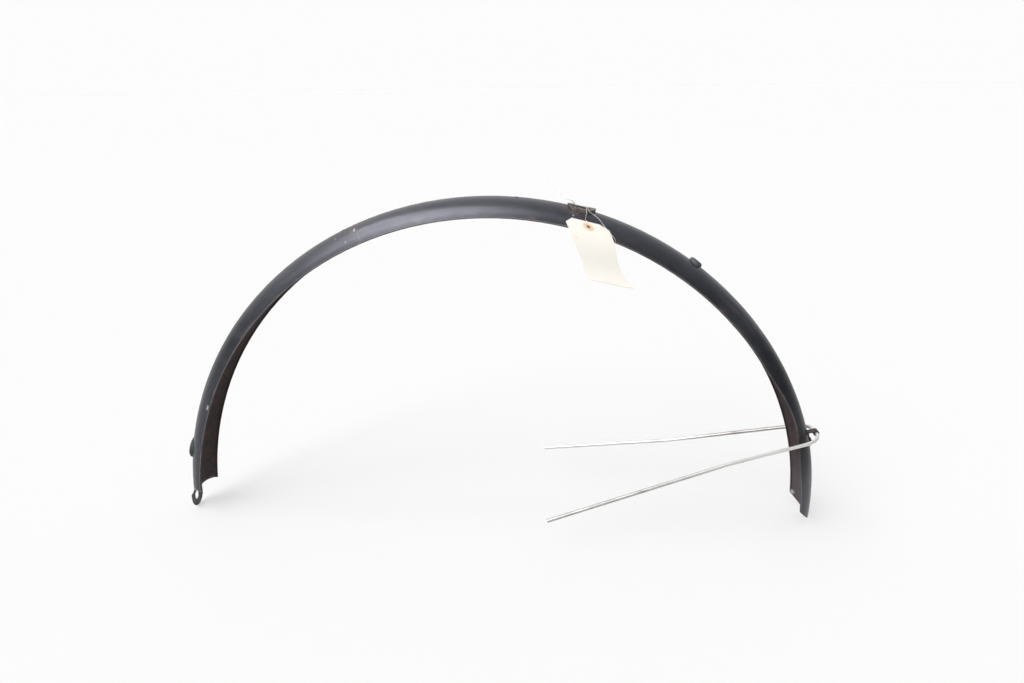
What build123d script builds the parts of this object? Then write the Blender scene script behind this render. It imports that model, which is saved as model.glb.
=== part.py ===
"""Rear bicycle mudguard with wire stay, lamp collar, plugs and a tied card tag.

Millimetres. The origin is the wheel's centre, X points to the tail, Y lies along the axle
and Z is up. Angles along the blade are measured at the wheel's centre, from X towards Z.
"""
import os
from math import acos, asin, atan2, cos, degrees, hypot, pi, radians, sin, sqrt

from build123d import *

os.makedirs("parts", exist_ok=True)

# Blade section
crown_radius = 365.0
guard_width = 47.6
guard_depth = 18.2
sheet = 0.8
bead_radius = 0.9

# Blade length, as angles
tail_angle = -2.0
tail_taper_angle = 13.5
front_taper_angle = 160.0
front_angle = 177.3
tail_crown_drop = 4.6
front_rim_rise = 2.0
tail_cut_rim_z = 12.8
tail_cut_crown_z = -2.6

# Rims bent up on the tail leg: lift, angle of the peak and angle to where it fades out
arch_angle = 44.0
near_dent = (5.3, 21.0, 12.0)
far_dent = (1.3, 18.0, 26.0)

# Front tab
tab_width = 27.0
tab_centre_z = 5.2
tab_flat_z = 11.0
tab_shoulder_z = 16.2
near_shoulder_z = 22.0
tab_fillet = 8.0
strip_margin = 3.3
tab_slot_width = 8.6
tab_slot_length = 10.0
tab_slot_y = -1.5

# Holes in the crown
bridge_hole_angle = 114.7
bridge_hole = (12.0, 10.0)
cable_hole_angle = 85.4
cable_hole_diameter = 5.0

# Lamp collar
collar_angle = 74.7
collar_length = 30.0
collar_width = 23.0
collar_slot = (20.0, 9.4)
collar_height = 3.2
collar_low = 0.45
collar_low_x = -4.0
saddle_radius = 70.0
lamp_hole_diameter = 5.0
lamp_hole_pitch = 13.0

# Plugs
plug_angle = 168.9
plug_diameter = 27.0
plug_height = 1.5
plug_round = 1.9
plug_stem = 8.0
plug_gap = 0.05
plug_ease = 0.34
button_angle = 53.7
button_diameter = 14.5
button_height = 3.4
button_stem = 5.0

# Stay and its clip
stay_diameter = 4.0
stay_angle = 15.8
stay_standoff = 9.0
stay_flat = 5.0
stay_side_gap = 1.6
stay_near_kink = (257.8, -41.6, 81.0)
stay_near_end = (63.0, -78.0, 27.4)
stay_far_kink = (204.9, 50.9, 64.3)
stay_far_end = (56.0, 78.0, 37.7)
stay_kink_radius = 150.0
clip_width = 7.5
clip_thickness = 1.2
clip_gap = 0.05
clip_foot = 13.0
rivet_shank = 4.0
rivet_hole = 4.2
rivet_head = 6.4
rivet_height = 1.7
rivet_drop = 7.6

# Card tag and tie wire
tag_offset = (-17.61, -44.7, -0.56)
tag_across = (0.8776, 0.3848, -0.2859)
tag_down = (0.2350, -0.8651, -0.4431)
tag_width = 48.7
tag_length = 96.5
tag_clip = 8.5
tag_thickness = 0.4
tag_hole = (24.35, 10.2)
tag_hole_diameter = 4.6
ring_diameter = 12.4
ring_thickness = 0.25
tie_diameter = 0.5

section_radius = (guard_width**2 / 4 + guard_depth**2) / (2 * guard_depth)
rim_radius = crown_radius - guard_depth
stay_radius = crown_radius + stay_standoff
stay_bend = guard_width / 2 + stay_side_gap - stay_flat
clear = 2 * guard_depth


def radial_plane(angle):
    """Plane through the axle: x outwards, y along the axle, z along the blade."""
    a = radians(angle)
    return Plane(origin=(0, 0, 0), x_dir=(cos(a), 0, sin(a)), z_dir=(-sin(a), 0, cos(a)))


def crown_plane(angle, radius=crown_radius):
    """Plane lying on the crown: x along the blade, y along the axle, z outwards."""
    a = radians(angle)
    spot = (radius * cos(a), 0, radius * sin(a))
    return Plane(origin=spot, x_dir=(sin(a), 0, -cos(a)), z_dir=(cos(a), 0, sin(a)))


def rivet_plane(height):
    """Plane square to the clip's rivet, at a height over the crown under the clip's eye."""
    a = radians(stay_angle)
    r = crown_radius + height
    spot = (r * cos(a) + rivet_drop * sin(a), 0, r * sin(a) - rivet_drop * cos(a))
    return Plane(origin=spot, x_dir=(sin(a), 0, -cos(a)), z_dir=(cos(a), 0, sin(a)))


def half_section(crown, rim):
    """One half of the sheet's section: outer skin and inner skin from crown to rim, and the bead's middle."""
    depth = crown - rim
    radius = (guard_width**2 / 4 + depth**2) / (2 * depth)
    centre = crown - radius
    reach = atan2(guard_width / 2, rim - centre)
    lap = bead_radius - sheet
    inner_reach = reach - sqrt(bead_radius**2 - lap**2) / (radius - sheet)

    def skin(skin_radius, skin_reach):
        turns = [skin_reach * i / 6 for i in range(7)]
        return [(centre + skin_radius * cos(turn), skin_radius * sin(turn)) for turn in turns]

    bead_turn = reach + (1.5 * pi + asin(lap / bead_radius)) / 2
    bead_r = centre + (radius - bead_radius) * cos(reach) + bead_radius * cos(bead_turn)
    bead_y = (radius - bead_radius) * sin(reach) + bead_radius * sin(bead_turn)
    return skin(radius, reach), skin(radius - sheet, inner_reach), (bead_r, bead_y)


def join_halves(near_half, far_half):
    """Points of both halves of a skin in one row, from the near rim over the crown to the far rim."""
    return [(r, -y) for r, y in near_half[:0:-1]] + far_half


def section_face(angle, crown, near_rim, far_rim, strip=None):
    """Sheet section with a bead along each rim, or only a middle strip of it, at an angle along the blade."""
    near_outer, near_inner, near_bead = half_section(crown, near_rim)
    far_outer, far_inner, far_bead = half_section(crown, far_rim)
    outer = join_halves(near_outer, far_outer)
    inner = join_halves(near_inner, far_inner)
    with BuildSketch(radial_plane(angle), mode=Mode.PRIVATE) as face:
        with BuildLine():
            Spline(*outer)
            ThreePointArc(outer[-1], far_bead, inner[-1])
            Spline(*inner)
            ThreePointArc(inner[0], (near_bead[0], -near_bead[1]), outer[0])
        make_face()
        if strip:
            with Locations((crown, 0)):
                Rectangle(4 * guard_depth, strip, mode=Mode.INTERSECT)
    return face.sketch


def rim_lift(dent, angle):
    """How far a bent rim stands above its round course at an angle along the blade."""
    lift, peak, fade = dent
    share = min(1, abs(angle - peak) / fade)
    return lift * cos(pi / 2 * share)**2


def tail_section(angle):
    """Section of the tail leg, with its bent rims and with the crown that drops towards the tail."""
    share = max(0, tail_taper_angle - angle) / (tail_taper_angle - tail_angle)
    crown = crown_radius - tail_crown_drop * share**1.3
    near_rim = rim_radius + rim_lift(near_dent, angle)
    far_rim = rim_radius + rim_lift(far_dent, angle)
    return section_face(angle, crown, near_rim, far_rim)


def angle_steps(start, end, steps):
    """Evenly spaced angles from start to end."""
    return [start + i / steps * (end - start) for i in range(steps + 1)]


axle = Axis((0, 0, 0), (0, -1, 0))

# Solid filled up to the outer skin, for fitting pieces to the crown
with BuildPart() as envelope:
    with BuildSketch(radial_plane(0)) as skin:
        with BuildLine():
            half_dome = half_section(crown_radius, rim_radius)[0]
            dome = join_halves(half_dome, half_dome)
            Spline(*dome)
            Line(dome[-1], dome[0])
        make_face()
    revolve(axis=axle, revolution_arc=180)
outer_fill = envelope.part

with BuildPart() as guard_blade:
    # Round arch, then the bent and tapered tail leg and the front end
    arch_section = section_face(arch_angle, crown_radius, rim_radius, rim_radius)
    revolve(arch_section, axis=axle, revolution_arc=front_taper_angle - arch_angle)
    loft([tail_section(angle) for angle in angle_steps(arch_angle, tail_taper_angle, 8)])
    loft([tail_section(angle) for angle in angle_steps(tail_taper_angle, tail_angle, 4)])
    front_sections = []
    for angle in angle_steps(front_taper_angle, front_angle, 4):
        share = (angle - front_taper_angle) / (front_angle - front_taper_angle)
        rim = rim_radius + front_rim_rise * share**1.5
        front_sections.append(section_face(angle, crown_radius, rim, rim))
    loft(front_sections)

    # Slanted cut across the tail
    cut_run = guard_depth - tail_crown_drop + sheet
    slope = atan2(tail_cut_crown_z - tail_cut_rim_z, cut_run)
    cut_plane = Plane(origin=(rim_radius - sheet / 4, 0, tail_cut_rim_z), x_dir=(cos(slope), 0, sin(slope)),
                      z_dir=(sin(slope), 0, -cos(slope)))
    with BuildSketch(cut_plane):
        Rectangle(3 * guard_width, 2 * guard_width)
    extrude(amount=guard_width, mode=Mode.SUBTRACT)

    # Flat tab: the crown strip flattens out and is trimmed to a round-ended outline
    strip = guard_width - 2 * strip_margin
    flat_x = -crown_radius + sheet / 2
    tab_view = Plane(origin=(-crown_radius - clear, 0, 0), x_dir=(0, 1, 0), z_dir=(1, 0, 0))
    half_tab = tab_width / 2
    turn = tab_fillet * (1 - sqrt(0.5))
    with BuildPart(mode=Mode.PRIVATE) as tab:
        end_rim = rim_radius + front_rim_rise
        strip_end = section_face(front_angle, crown_radius, end_rim, end_rim, strip)
        flat_plane = Plane(origin=(flat_x, 0, tab_flat_z), x_dir=(-1, 0, 0), z_dir=(0, 0, -1))
        with BuildSketch(flat_plane, mode=Mode.PRIVATE) as flat_end:
            Rectangle(sheet, strip)
        loft([strip_end, flat_end.sketch], ruled=True)
        extrude(flat_end.sketch, amount=tab_width)
        with BuildSketch(tab_view) as outline:
            with BuildLine():
                bend_z = tab_shoulder_z - tab_fillet
                Polyline((half_tab, tab_centre_z), (half_tab, bend_z))
                ThreePointArc((half_tab, bend_z), (half_tab + turn, tab_shoulder_z - turn),
                              (half_tab + tab_fillet, tab_shoulder_z))
                Polyline((half_tab + tab_fillet, tab_shoulder_z), (guard_width, tab_shoulder_z),
                         (guard_width, tab_shoulder_z + clear), (-guard_width, tab_shoulder_z + clear),
                         (-guard_width, tab_shoulder_z), (-half_tab, tab_shoulder_z),
                         (-half_tab, tab_centre_z))
                ThreePointArc((-half_tab, tab_centre_z), (0, tab_centre_z - half_tab),
                              (half_tab, tab_centre_z))
            make_face()
        extrude(amount=3 * clear, mode=Mode.INTERSECT)
    add(tab.part)

    # The near wall ends higher than the far one
    with BuildSketch(tab_view):
        with BuildLine():
            bend_z = near_shoulder_z - tab_fillet
            Line((-half_tab, tab_centre_z), (-half_tab, bend_z))
            ThreePointArc((-half_tab, bend_z), (-half_tab - turn, near_shoulder_z - turn),
                          (-half_tab - tab_fillet, near_shoulder_z))
            Polyline((-half_tab - tab_fillet, near_shoulder_z), (-guard_width, near_shoulder_z),
                     (-guard_width, tab_centre_z), (-half_tab, tab_centre_z))
        make_face()
    extrude(amount=3 * clear, mode=Mode.SUBTRACT)
    with BuildSketch(tab_view):
        with Locations((tab_slot_y, tab_centre_z)):
            SlotOverall(tab_slot_length, tab_slot_width, rotation=90)
    extrude(amount=1.5 * clear, mode=Mode.SUBTRACT)

    # Holes through the crown
    with BuildSketch(crown_plane(bridge_hole_angle, crown_radius + 5)):
        RectangleRounded(bridge_hole[0], bridge_hole[1], 2)
    extrude(amount=-20, mode=Mode.SUBTRACT)
    round_holes = [
        (cable_hole_angle, cable_hole_diameter),
        (plug_angle, plug_stem),
        (button_angle, button_stem),
        (collar_angle - degrees(lamp_hole_pitch / 2 / crown_radius), lamp_hole_diameter),
        (collar_angle + degrees(lamp_hole_pitch / 2 / crown_radius), lamp_hole_diameter),
    ]
    for angle, diameter in round_holes:
        with BuildSketch(crown_plane(angle, crown_radius + 5)):
            Circle(diameter / 2)
        extrude(amount=-12, mode=Mode.SUBTRACT)
    with BuildSketch(rivet_plane(6)):
        Circle(rivet_hole / 2)
    extrude(amount=-14, mode=Mode.SUBTRACT)
guard_blade.part.label = "guard_blade"
export_step(guard_blade.part, "parts/guard_blade.step")

with BuildPart() as lamp_collar:
    with BuildSketch(crown_plane(collar_angle, crown_radius - 6)):
        SlotOverall(collar_length, collar_width)
        SlotOverall(collar_slot[0], collar_slot[1], mode=Mode.SUBTRACT)
    extrude(amount=6 + collar_height)
    # Saddle-shaped top: low before the middle and highest at the end towards the tail
    dip = crown_plane(collar_angle, crown_radius + collar_low + saddle_radius)
    with BuildSketch(Plane(origin=dip.origin, x_dir=dip.x_dir, z_dir=(0, 1, 0))):
        with Locations((collar_low_x, 0)):
            Circle(saddle_radius)
    extrude(amount=2 * collar_width, both=True, mode=Mode.SUBTRACT)
    add(outer_fill, mode=Mode.SUBTRACT)
lamp_collar.part.label = "lamp_collar"
export_step(lamp_collar.part, "parts/lamp_collar.step")

# Skin under the rubber plug, where the blade is a little shallower
with BuildSketch(radial_plane(plug_angle - 6)) as plug_skin:
    skin_radius = section_radius + plug_ease
    with Locations((crown_radius - skin_radius + plug_gap, 0)):
        Circle(skin_radius)
plug_seat = plug_skin.sketch
with BuildPart() as rubber_plug:
    base = crown_plane(plug_angle, crown_radius - 6)
    with BuildSketch(base):
        Circle(plug_diameter / 2)
    extrude(amount=6 + plug_height)
    fillet(rubber_plug.faces().sort_by(Axis(base.origin, base.z_dir))[-1].edges(), plug_round)
    revolve(plug_seat, axis=axle, revolution_arc=12, mode=Mode.SUBTRACT)
    with BuildSketch(crown_plane(plug_angle, crown_radius - 3.2)):
        Circle(plug_stem / 2)
    extrude(amount=4.4)
    with BuildSketch(crown_plane(plug_angle, crown_radius - 4.2)):
        Circle(plug_stem / 2 + 2)
    extrude(amount=2.6)
rubber_plug.part.label = "rubber_plug"
export_step(rubber_plug.part, "parts/rubber_plug.step")

with BuildPart() as blanking_plug:
    base = crown_plane(button_angle, crown_radius - 3)
    with BuildSketch(base):
        Circle(button_diameter / 2)
    extrude(amount=3 + button_height)
    fillet(blanking_plug.faces().sort_by(Axis(base.origin, base.z_dir))[-1].edges(), 2.4)
    add(outer_fill, mode=Mode.SUBTRACT)
    with BuildSketch(crown_plane(button_angle, crown_radius - 2.2)):
        Circle(button_stem / 2)
    extrude(amount=3.2)
    with BuildSketch(crown_plane(button_angle, crown_radius - 3.2)):
        Circle(button_stem / 2 + 1.3)
    extrude(amount=2.0)
blanking_plug.part.label = "blanking_plug"
export_step(blanking_plug.part, "parts/blanking_plug.step")

# Clip profile, drawn across the axle: x outwards from the crown, y up along the blade
a = radians(stay_angle)
clip_origin = (crown_radius * cos(a), clip_width / 2, crown_radius * sin(a))
clip_profile = Plane(origin=clip_origin, x_dir=(cos(a), 0, sin(a)), z_dir=(0, -1, 0))
eye_height = stay_radius - crown_radius
eye_inner = stay_diameter / 2
eye_outer = eye_inner + clip_thickness
with BuildPart() as stay_clip:
    with BuildSketch(clip_profile):
        with Locations((eye_height, 0)):
            Circle(eye_outer)
        with Locations((eye_height / 2 - 2, (eye_inner + eye_outer) / 2)):
            Rectangle(eye_height + 4, clip_thickness)
        with Locations((-1, (eye_outer - clip_foot) / 2)):
            Rectangle(2 * clip_thickness + 2, clip_foot + eye_outer)
        with Locations((eye_height, 0)):
            Circle(eye_inner, mode=Mode.SUBTRACT)
        with Locations((eye_height - eye_outer, 1.2)):
            Rectangle(2 * clip_thickness, 1.0, mode=Mode.SUBTRACT)
    extrude(amount=clip_width)
    add(Pos(clip_gap * cos(a), 0, clip_gap * sin(a)) * outer_fill, mode=Mode.SUBTRACT)
    with BuildSketch(rivet_plane(6)):
        Circle(rivet_hole / 2)
    extrude(amount=-14, mode=Mode.SUBTRACT)
stay_clip.part.label = "stay_clip"
export_step(stay_clip.part, "parts/stay_clip.step")

with BuildPart() as clip_rivet:
    with BuildSketch(rivet_plane(-2.0)):
        Circle(rivet_shank / 2)
    extrude(amount=2.0 + clip_thickness + rivet_height / 2)
    with BuildSketch(rivet_plane(clip_thickness)):
        Circle(rivet_head / 2)
    extrude(amount=rivet_height)
    fillet(clip_rivet.faces().sort_by(Axis((0, 0, 0), rivet_plane(0).z_dir))[-1].edges(), 1.2)
    with BuildSketch(rivet_plane(-1.06)):
        Circle(rivet_head / 2 - 0.6)
    extrude(amount=-1.3)
clip_rivet.part.label = "clip_rivet"
export_step(clip_rivet.part, "parts/clip_rivet.step")


def stay_leg(kink):
    """Ends and mid point of one bend, which leaves the wire running straight to the leg's kink."""
    apex = (stay_radius * cos(radians(stay_angle)), stay_radius * sin(radians(stay_angle)))
    inward = (kink[0] - apex[0], kink[2] - apex[1])
    reach = hypot(*inward)
    inward = (inward[0] / reach, inward[1] / reach)
    side = 1 if kink[1] > 0 else -1
    over = abs(kink[1]) - stay_flat
    turn = atan2(over, reach - stay_bend) + acos(stay_bend / hypot(over, reach - stay_bend))

    def spot(angle):
        run = stay_bend + stay_bend * cos(angle)
        y = side * (stay_flat + stay_bend * sin(angle))
        return (apex[0] + inward[0] * run, y, apex[1] + inward[1] * run)

    return spot(pi), spot((pi + turn) / 2), spot(turn)


near_start, near_mid, near_tip = stay_leg(stay_near_kink)
far_start, far_mid, far_tip = stay_leg(stay_far_kink)
with BuildPart() as wire_stay:
    with BuildLine() as stay_path:
        FilletPolyline(stay_near_end, stay_near_kink, near_tip, radius=stay_kink_radius)
        ThreePointArc(near_tip, near_mid, near_start)
        Line(near_start, far_start)
        ThreePointArc(far_start, far_mid, far_tip)
        FilletPolyline(far_tip, stay_far_kink, stay_far_end, radius=stay_kink_radius)
    with BuildSketch(Plane(origin=stay_path.line @ 0, z_dir=stay_path.line % 0)):
        Circle(stay_diameter / 2)
    sweep(path=stay_path.line)
wire_stay.part.label = "wire_stay"
export_step(wire_stay.part, "parts/wire_stay.step")

# Card tag: a ruled sheet, straight along its left side and sagging along its right side
collar_seat = crown_plane(collar_angle).origin
corner = collar_seat + Vector(*tag_offset)
across = Vector(*tag_across).normalized()
down = (Vector(*tag_down) - across * across.dot(Vector(*tag_down))).normalized()
face_up = down.cross(across) if down.cross(across).Z > 0 else across.cross(down)
sag = [(0, 0), (22, -0.8), (37, 1.5), (50, 5.0), (62, 6.3), (80, 3.9), (tag_length, 0)]
right_edge = [corner + across * tag_width + down * run - face_up * drop for run, drop in sag]
left_edge = Edge.make_line(corner, corner + down * tag_length)
tag_sheet = Face.make_surface_from_curves(left_edge, Edge.make_spline(right_edge))
upward = 1 if tag_sheet.normal_at().dot(face_up) > 0 else -1
hole_spot = corner + across * tag_hole[0] + down * tag_hole[1]
tag_plane = Plane(origin=hole_spot - face_up * 20, x_dir=across, z_dir=face_up)
with BuildPart() as tag_card:
    thicken(tag_sheet, amount=upward * tag_thickness)
    with BuildSketch(tag_plane):
        Circle(tag_hole_diameter / 2)
        top = tag_hole[1]
        left = -tag_hole[0]
        right = tag_width - tag_hole[0]
        with BuildLine():
            Polyline((left - 1, top + 1), (left + tag_clip, top + 1), (left + tag_clip, top),
                     (left, top - tag_clip), (left - 1, top - tag_clip), close=True)
        make_face()
        with BuildLine():
            Polyline((right + 1, top + 1), (right - tag_clip, top + 1), (right - tag_clip, top),
                     (right, top - tag_clip), (right + 1, top - tag_clip), close=True)
        make_face()
    extrude(amount=40, mode=Mode.SUBTRACT)
tag_card.part.label = "tag_card"
export_step(tag_card.part, "parts/tag_card.step")

with BuildPart() as tag_rings:
    thicken(tag_sheet, amount=upward * (tag_thickness + ring_thickness))
    add(tag_card.part, mode=Mode.SUBTRACT)
    thicken(tag_sheet, amount=-upward * ring_thickness)
    with BuildSketch(tag_plane):
        Circle(ring_diameter / 2)
        Circle(tag_hole_diameter / 2, mode=Mode.SUBTRACT)
    extrude(amount=40, mode=Mode.INTERSECT)
tag_rings.part.label = "tag_rings"
export_step(tag_rings.part, "parts/tag_rings.step")

# Way of the wire from the collar's seat: in by one lamp hole, round the card's hole and back
tie_offsets = [
    (-31.0, 3.0, 37.0), (-27.5, 3.0, 19.0), (-19.31, 2.4, 10.14), (-11.81, 1.4, 8.34),
    (-7.71, 0.9, 4.14), (-7.11, 0.8, -1.46), (-4.31, 0.8, -5.46), (1.69, 0.6, -6.66),
    (4.69, 0.4, -3.46), (5.29, -0.8, 1.14), (5.09, -6.6, 2.14), (4.69, -20.0, -3.46),
    (4.49, -36.0, -6.66), (6.59, -43.2, -8.46), (6.29, -44.3, -11.66), (6.29, -43.6, -15.46),
    (10.69, -43.6, -20.26), (19.19, -45.0, -25.06), (28.19, -48.0, -29.46), (33.2, -47.6, -25.5),
    (29.8, -45.6, -19.4), (22.0, -36.0, -11.6), (15.4, -24.0, -5.2), (6.9, -10.6, 0.3),
    (6.1, -6.4, 2.4), (6.89, -1.6, 0.94), (6.89, -0.6, -3.06), (4.19, -0.9, -7.86),
    (-1.81, -1.0, -8.66), (-5.11, -0.8, -4.06), (-5.71, -0.6, 2.54), (-9.71, -0.4, 7.54),
    (-16.91, 0.4, 10.34), (-22.31, 1.0, 19.54),
]
with BuildPart() as tie_wire:
    with BuildLine() as tie_path:
        Spline(*[collar_seat + Vector(*offset) for offset in tie_offsets])
    with BuildSketch(Plane(origin=tie_path.line @ 0, z_dir=tie_path.line % 0)):
        Circle(tie_diameter / 2)
    sweep(path=tie_path.line, is_frenet=True)
tie_wire.part.label = "tie_wire"
export_step(tie_wire.part, "parts/tie_wire.step")
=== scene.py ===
"""Dresses a packed rear mudguard: worn black paint, rust, rubber plugs, wire stay and a blank card tag, with
some highlights and shade painted into their colours.
"""

from math import cos, pi, radians, sin

import bpy
from bpy.props import FloatProperty, FloatVectorProperty, PointerProperty
from bpy.types import Operator, Panel, PropertyGroup
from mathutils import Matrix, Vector


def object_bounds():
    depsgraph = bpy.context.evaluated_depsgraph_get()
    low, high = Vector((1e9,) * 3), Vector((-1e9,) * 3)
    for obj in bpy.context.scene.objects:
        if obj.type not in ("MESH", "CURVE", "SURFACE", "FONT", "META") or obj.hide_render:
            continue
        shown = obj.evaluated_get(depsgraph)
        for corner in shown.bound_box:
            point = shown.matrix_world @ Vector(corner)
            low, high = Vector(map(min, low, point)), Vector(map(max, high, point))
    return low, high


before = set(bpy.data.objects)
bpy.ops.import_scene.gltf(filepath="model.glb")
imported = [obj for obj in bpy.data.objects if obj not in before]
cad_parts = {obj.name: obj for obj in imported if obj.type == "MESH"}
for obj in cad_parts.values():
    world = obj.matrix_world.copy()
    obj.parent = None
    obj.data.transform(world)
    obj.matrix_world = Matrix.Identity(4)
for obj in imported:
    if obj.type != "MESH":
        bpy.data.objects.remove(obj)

bl_info = {
    "name": "Mudguard Finish",
    "version": (1, 0, 0),
    "blender": (4, 5, 0),
    "location": "View3D > Sidebar > Mudguard",
    "description": "Paint, rust, rubber, wire and card finishes for a rear bicycle mudguard",
    "category": "Object",
}

CAD_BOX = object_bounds()

# Blade, in metres and degrees, as in the solids
CROWN_RADIUS = 0.365
RIM_RADIUS = 0.3468
SECTION_RADIUS = 0.02466
SECTION_CENTRE = CROWN_RADIUS - SECTION_RADIUS
FRONT_TAPER_ANGLE = 160.0
FRONT_ANGLE = 177.3
FRONT_RIM_RISE = 0.002
FRONT_RIM_CURVE = 1.5

# Bent rims: how far each is lifted, at which angle, and over how many degrees the bend fades out
NEAR_DENT = (0.0053, 21.0, 12.0)
FAR_DENT = (0.0013, 18.0, 26.0)

# Pieces on the crown
COLLAR_ANGLE = 74.7
PLUG_ANGLE = 168.9
PLUG_RADIUS = 0.0135
BUTTON_ANGLE = 53.7
BUTTON_RADIUS = 0.00725
CLIP_ANGLE = 15.8
CLIP_HEIGHT = 0.006

# Moulded ring and outer rim of the plugs, as shares of the radius
PLUG_GROOVE = 0.74
PLUG_RIM = (0.84, 0.99)

# Rust on the collar and the clip: how far it reaches, and how many degrees from the collar's middle it starts
RUST_REACH = 0.016
COLLAR_RUST_SHIFT = 0.8

# Middles of marks on the paint: angle along the blade, and lean from the crown towards the near rim
BRIDGE_SEAT = (113.75, 41.0)
SEAT_SMEAR = (113.7, 33.0)
LONG_CHIP = (113.1, 33.3)
ROUND_CHIP = (116.8, 33.0)
LOW_CHIP = (115.1, 56.5)
RIM_CHIP = (158.2, 68.0)
COLLAR_CHIP = (75.8, 43.2)
COLLAR_RUST_TOP = (77.4, 10.0)
COLLAR_RUST_SIDE = (75.6, 27.0)
# Dark patch by the stay clip, partly painted shade
CLIP_GRIME_AND_SHADE = (16.5, 52.0)

# Box-shaped marks: half sizes along and across the blade, and the radius of the corners
BRIDGE_SEAT_HALF = (0.0075, 0.0100)
BRIDGE_SEAT_CORNER = 0.004
LONG_CHIP_HALF = (0.0009, 0.0024)
LONG_CHIP_CORNER = 0.0007
RIM_CHIP_HALF = (0.0030, 0.0010)
RIM_CHIP_CORNER = 0.0008

# Worn line across the blade, on the rear edge of the bridge seat
BRIDGE_EDGE_ANGLE = 112.55

# Stretches of the blade, in degrees: where a change starts and where it is full
SCUFFED_FRONT = (120, 143)
DULL_FRONT = (135, 150)
DUSTY_TAIL = (75, 30)
DULL_TAIL_TOP = (46, 24)
DULL_TAIL_FOOT = (5, 15)

# Worn rims and ends: heights over the rim, X and Z on the front tab, and the tail's bent corner. The near
# rim's light line is partly a painted highlight.
RIM_BEAD = (0.0011, 0.0002)
RIM_FRAY = (0.0046, 0.0008)
TAB_X = (-0.30, -0.32)
TAB_BARE_Z = (0.0215, 0.0165)
# Height of the tab's fold, along which a partly painted highlight runs
TAB_FOLD_Z = 0.0218
TAIL_CORNER = Vector((0.3462, 0.0200, 0.0140))

# Stay wire: places along X and Y where a change starts and where it is full
# Darker towards the ends of the legs
STAY_ENDS_X = (0.30, 0.14)
STAY_FAR_Y = (0.0, 0.02)
# Far leg, where a highlight is painted
STAY_FAR_LEG_X = (0.27, 0.20)
# Painted shadow of the blade on the far leg
STAY_BLADE_SHADOW_X = (0.20, 0.27)
# Bend, where a highlight is painted
STAY_BEND_X = (0.22, 0.30)
STAY_BEND_Y = (0.03, 0.0)

# Card tag: its upper left corner, the ways of its edges, its size, and places on it
TAG_CORNER = Vector((0.0787, -0.0447, 0.3515))
TAG_ACROSS = Vector((0.8776, 0.3848, -0.2859)).normalized()
TAG_DOWN = Vector((0.2350, -0.8651, -0.4431)).normalized()
TAG_FACE = TAG_DOWN.cross(TAG_ACROSS)
TAG_WIDTH = 0.0487
TAG_LENGTH = 0.0965
TAG_EDGE = 0.0032
TAG_HOLE = TAG_CORNER + TAG_ACROSS * (TAG_WIDTH / 2) + TAG_DOWN * 0.0102
TAG_SMUDGE = TAG_CORNER + TAG_ACROSS * 0.0045 + TAG_DOWN * 0.033
RING_EDGE = (0.0036, 0.0024)

# Tie wire: the middle of its painted shade where it turns behind the card's hole, and the heights between
# which its free end grows pale
TIE_HOLE_SHADE = TAG_HOLE - TAG_FACE * 0.0012
TIE_FREE_Z = (0.357, 0.365)

# Stage, with the soft box's edge as cosines from its middle
FLOOR_SIZE = 60
FLOOR_GAP = 0.0003
BACKDROP_RADIUS = 25
SOFTBOX_EDGE = (0.86, 0.98)
SENSOR_WIDTH = 36
CAMERA_NEAREST = 0.01
CAMERA_FARTHEST = 100
WHITE = (1, 1, 1)
BLACK = (0, 0, 0)


def on_crown(angle, radius=CROWN_RADIUS):
    """Point on the middle of the crown at an angle along the blade."""
    return Vector((radius * cos(radians(angle)), 0, radius * sin(radians(angle))))


def on_blade(angle, lean):
    """Point on the outer skin at an angle along the blade, leaning from the crown to the near rim."""
    spot = on_crown(angle, SECTION_CENTRE + SECTION_RADIUS * cos(radians(lean)))
    spot.y = -SECTION_RADIUS * sin(radians(lean))
    return spot


# Settings

def colour_prop(name, description, default):
    """Colour setting shown as a swatch."""
    return FloatVectorProperty(name=name, description=description, default=default, subtype="COLOR",
                               min=0, max=1)


def share_prop(name, description, default):
    """Setting from nought to one."""
    return FloatProperty(name=name, description=description, default=default, subtype="FACTOR", min=0, max=1)


def light_prop(name, description, default):
    """Brightness setting from nought up."""
    return FloatProperty(name=name, description=description, default=default, min=0)


def way_prop(name, description, default):
    """Direction setting."""
    return FloatVectorProperty(name=name, description=description, default=default, subtype="DIRECTION")


class PaintSettings(PropertyGroup):
    """Colours and gloss of the painted steel."""

    paint: colour_prop("Paint", "Sound black paint", (0.0080, 0.0087, 0.0108))
    dull: colour_prop("Dull paint", "Chalky paint", (0.022, 0.0225, 0.026))
    # Worn edge also colours the painted highlight along the near rim.
    edge: colour_prop("Worn edge", "Thin paint rubbed through along the rims", (0.120, 0.114, 0.110))
    rust: colour_prop("Rust", "Light rust", (0.085, 0.044, 0.022))
    deep_rust: colour_prop("Deep rust", "Old dark rust and grime", (0.016, 0.0088, 0.0058))
    dust: colour_prop("Dust", "Road dust inside the tail leg", (0.056, 0.043, 0.044))
    bare: colour_prop("Bare steel", "Steel that shows through chips", (0.56, 0.54, 0.50))
    gloss_roughness: share_prop("Paint roughness", "Roughness of sound paint", 0.34)
    dull_roughness: share_prop("Dull roughness", "Roughness of chalky paint", 0.47)
    specular: share_prop("Paint sheen", "Strength of the paint's reflection", 0.75)
    sheen: colour_prop("Sheen colour", "Cool cast of the paint's reflection", (0.865, 0.870, 1.0))


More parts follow.
